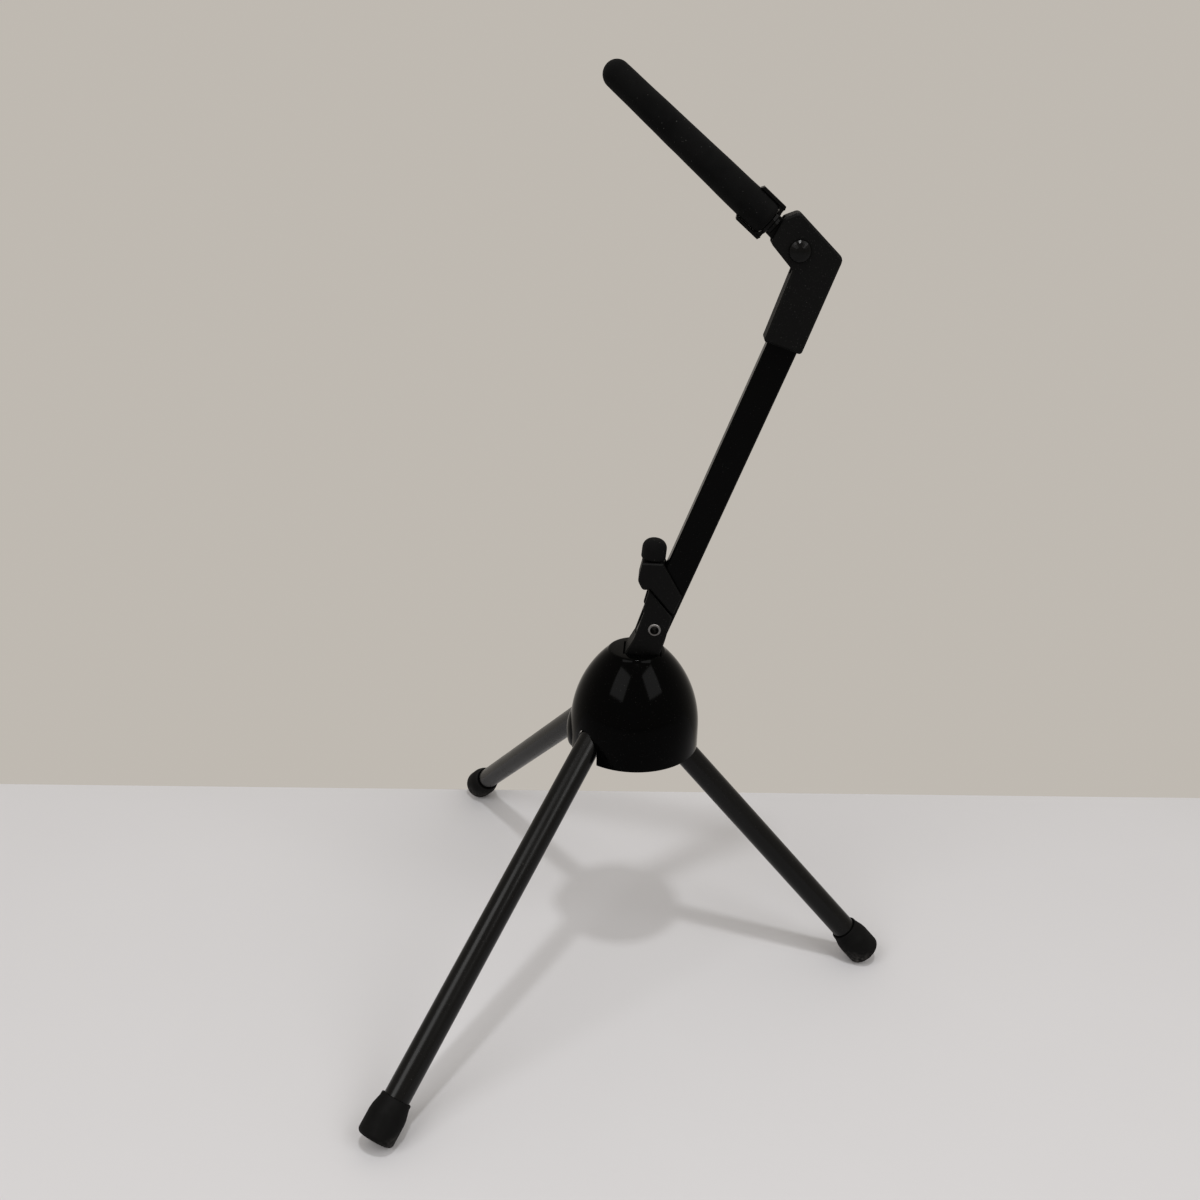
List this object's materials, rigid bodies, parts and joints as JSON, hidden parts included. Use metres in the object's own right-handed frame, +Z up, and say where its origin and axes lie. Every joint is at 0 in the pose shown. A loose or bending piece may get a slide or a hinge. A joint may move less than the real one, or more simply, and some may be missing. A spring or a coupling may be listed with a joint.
{
  "type": "trumpet stand",
  "caption": "Folding tripod stand for a trumpet: tubular legs in a domed hub, a leaning flat post, an elbow and an angled foam-covered peg that goes into the bell.",
  "frame": {"origin": "on the floor, in the middle of the bounding box", "axes": "+Z up, +X towards the rear leg, XZ is the plane of symmetry; the peg points towards -X and up"},
  "size_m": [0.318, 0.4032, 0.5744],
  "materials": {
    "hub_gloss": "smooth glossy black moulding",
    "core_plastic": "plain black moulding, inside the hub and tubes",
    "bracket_plastic": "satin black moulding",
    "lever_plastic": "satin black moulding",
    "elbow_plastic": "fine-textured satin black moulding",
    "peg_plastic": "satin black moulding",
    "leg_paint": "glossy black paint on steel tube",
    "post_paint": "glossy black paint on steel tube",
    "bolt_gloss": "glossy black domed head",
    "foot_rubber": "matte black rubber",
    "grip_foam": "closed-cell black foam rubber",
    "peg_foam": "closed-cell black foam rubber",
    "steel": "plain zinc-plated steel",
    "rivet_steel": "bright rolled rivet"
  },
  "bodies": {
    "hub": {"hub_shell": "hub_gloss", "hub_core": "core_plastic", "hub_screw_1": "steel", "hub_screw_2": "steel", "hub_screw_3": "steel", "post_bracket": "bracket_plastic", "bracket_pin": "steel", "fold_rivet": "rivet_steel", "leg_pin_rear": "steel", "leg_pin_left": "steel", "leg_pin_right": "steel"},
    "leg_rear": {"leg_tube_rear": "leg_paint", "leg_knuckle_rear": "core_plastic", "foot_rear": "foot_rubber"},
    "leg_left": {"leg_tube_left": "leg_paint", "leg_knuckle_left": "core_plastic", "foot_left": "foot_rubber"},
    "leg_right": {"leg_tube_right": "leg_paint", "leg_knuckle_right": "core_plastic", "foot_right": "foot_rubber"},
    "post": {"post_tube": "post_paint", "post_foot": "core_plastic", "lever_pin": "steel", "lever_spring": "steel", "elbow": "elbow_plastic", "elbow_bolt": "bolt_gloss", "elbow_washer": "steel", "elbow_nut": "steel"},
    "lever": {"lever_body": "lever_plastic", "lever_grip": "grip_foam"},
    "peg": {"peg_core": "peg_plastic", "peg_collar": "peg_plastic", "peg_foam": "peg_foam"}
  },
  "joints": [
    {"name": "leg_rear_fold", "type": "hinge", "parent": "hub", "child": "leg_rear", "pos_m": [-0.00847, 0, 0.18989], "axis": [0, 1, 0], "range_deg": [0, 41]},
    {"name": "leg_left_fold", "type": "hinge", "parent": "hub", "child": "leg_left", "pos_m": [-0.03313, -0.01345, 0.18868], "axis": [0.8406, -0.5417, 0], "range_deg": [0, 49.8]},
    {"name": "leg_right_fold", "type": "hinge", "parent": "hub", "child": "leg_right", "pos_m": [-0.03313, 0.01345, 0.18868], "axis": [-0.8406, -0.5417, 0], "range_deg": [0, 49.8]},
    {"name": "post_fold", "type": "hinge", "parent": "hub", "child": "post", "pos_m": [-0.00327, 0, 0.248], "axis": [0, 1, 0], "range_deg": [0, 90]},
    {"name": "lever_press", "type": "hinge", "parent": "post", "child": "lever", "pos_m": [0.00603, 0, 0.2635], "axis": [0, 1, 0], "range_deg": [0, 3], "stiffness_Nm_per_rad": 0.3, "springref_deg": -11.46},
    {"name": "peg_fold", "type": "hinge", "parent": "post", "child": "peg", "pos_m": [0.06893, 0, 0.4789], "axis": [0, -1, 0], "range_deg": [0, 80]}
  ]
}
